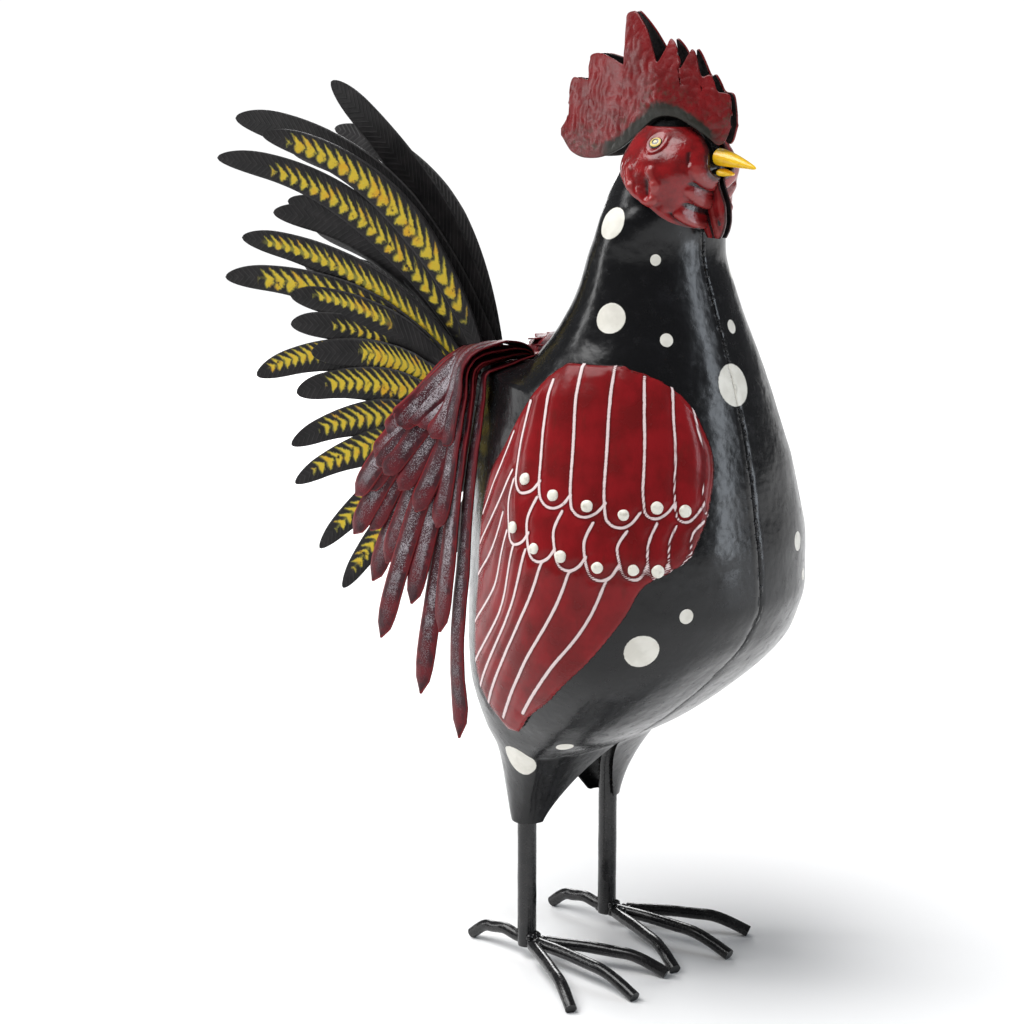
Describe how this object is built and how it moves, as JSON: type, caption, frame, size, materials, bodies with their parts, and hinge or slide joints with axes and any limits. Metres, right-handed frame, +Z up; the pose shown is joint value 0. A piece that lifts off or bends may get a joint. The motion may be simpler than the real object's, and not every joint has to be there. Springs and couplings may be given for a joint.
{
  "type": "scrap metal rooster sculpture",
  "caption": "Standing rooster built from painted sheet metal, with a tall comb, an arched fan of tail feathers and feet of bent rod.",
  "frame": {"origin": "on the floor under the middle of the bounding box", "axes": "+Z up, +X towards the beak, -Y towards the bird's own right side"},
  "size_m": [0.3775, 0.1873, 0.4932],
  "materials": {
    "black_gloss_paint": "gloss enamel with white dots, dented and weld stitched",
    "red_gloss_paint": "gloss enamel, rubbed dark at the rims",
    "yellow_paint": "semi-gloss enamel",
    "black_rod_paint": "semi-gloss enamel over weld beads",
    "black_feather_paint": "satin black with brushed yellow barbs",
    "dark_red_feather_paint": "satin dark red with a dry-brushed silver rib"
  },
  "bodies": {
    "root": {"beak_lower": "yellow_paint", "beak_upper": "yellow_paint", "body_left": "black_gloss_paint", "body_right": "black_gloss_paint", "comb_left": "red_gloss_paint", "comb_right": "red_gloss_paint", "face_left": "red_gloss_paint", "face_right": "red_gloss_paint", "leg_left": "black_rod_paint", "leg_right": "black_rod_paint", "saddle_cap": "red_gloss_paint", "saddle_left_1": "dark_red_feather_paint", "saddle_left_2": "dark_red_feather_paint", "saddle_left_3": "dark_red_feather_paint", "saddle_left_4": "dark_red_feather_paint", "saddle_left_5": "dark_red_feather_paint", "saddle_left_6": "dark_red_feather_paint", "saddle_left_7": "dark_red_feather_paint", "saddle_right_1": "dark_red_feather_paint", "saddle_right_2": "dark_red_feather_paint", "saddle_right_3": "dark_red_feather_paint", "saddle_right_4": "dark_red_feather_paint", "saddle_right_5": "dark_red_feather_paint", "saddle_right_6": "dark_red_feather_paint", "saddle_right_7": "dark_red_feather_paint", "sickle_long": "black_feather_paint", "sickle_tall": "black_feather_paint", "tail_left_01": "black_feather_paint", "tail_left_02": "black_feather_paint", "tail_left_03": "black_feather_paint", "tail_left_04": "black_feather_paint", "tail_left_05": "black_feather_paint", "tail_left_06": "black_feather_paint", "tail_left_07": "black_feather_paint", "tail_left_08": "black_feather_paint", "tail_left_09": "black_feather_paint", "tail_left_10": "black_feather_paint", "tail_left_11": "black_feather_paint", "tail_right_01": "black_feather_paint", "tail_right_02": "black_feather_paint", "tail_right_03": "black_feather_paint", "tail_right_04": "black_feather_paint", "tail_right_05": "black_feather_paint", "tail_right_06": "black_feather_paint", "tail_right_07": "black_feather_paint", "tail_right_08": "black_feather_paint", "tail_right_09": "black_feather_paint", "tail_right_10": "black_feather_paint", "tail_right_11": "black_feather_paint", "toe_left_back": "black_rod_paint", "toe_left_inner": "black_rod_paint", "toe_left_middle": "black_rod_paint", "toe_left_outer": "black_rod_paint", "toe_right_back": "black_rod_paint", "toe_right_inner": "black_rod_paint", "toe_right_middle": "black_rod_paint", "toe_right_outer": "black_rod_paint", "wing_left": "red_gloss_paint", "wing_right": "red_gloss_paint"}
  },
  "joints": []
}
